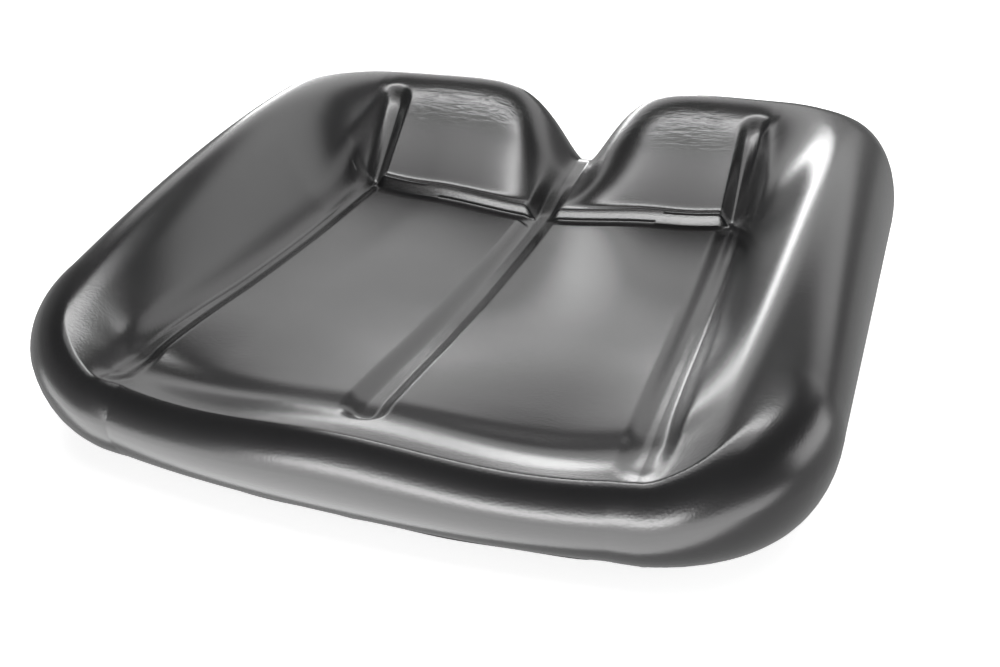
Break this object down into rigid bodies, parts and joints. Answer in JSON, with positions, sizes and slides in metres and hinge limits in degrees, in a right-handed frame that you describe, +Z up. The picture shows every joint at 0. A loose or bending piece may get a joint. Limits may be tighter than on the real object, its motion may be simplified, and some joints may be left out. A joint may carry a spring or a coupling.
{
  "type": "operator seat",
  "caption": "Dished seat cushion for a ride-on garden machine, with raised side bolsters, two back lobes around a rear notch and moulded grooves, on a pressed steel pan with weld nuts.",
  "frame": {"origin": "middle of the footprint, on the surface that the pan's rim rests on", "axes": "+X to the sitter's right, +Y to the back of the seat, +Z up"},
  "size_m": [0.4698, 0.45, 0.117],
  "materials": {
    "vinyl": "black grained vinyl, semi-gloss",
    "foam": "moulded open-cell foam",
    "pan_paint": "black painted sheet steel",
    "nut_steel": "zinc plated"
  },
  "bodies": {
    "root": {"vinyl_cover": "vinyl", "foam_core": "foam", "base_pan": "pan_paint", "weld_nuts": "nut_steel"}
  },
  "joints": []
}
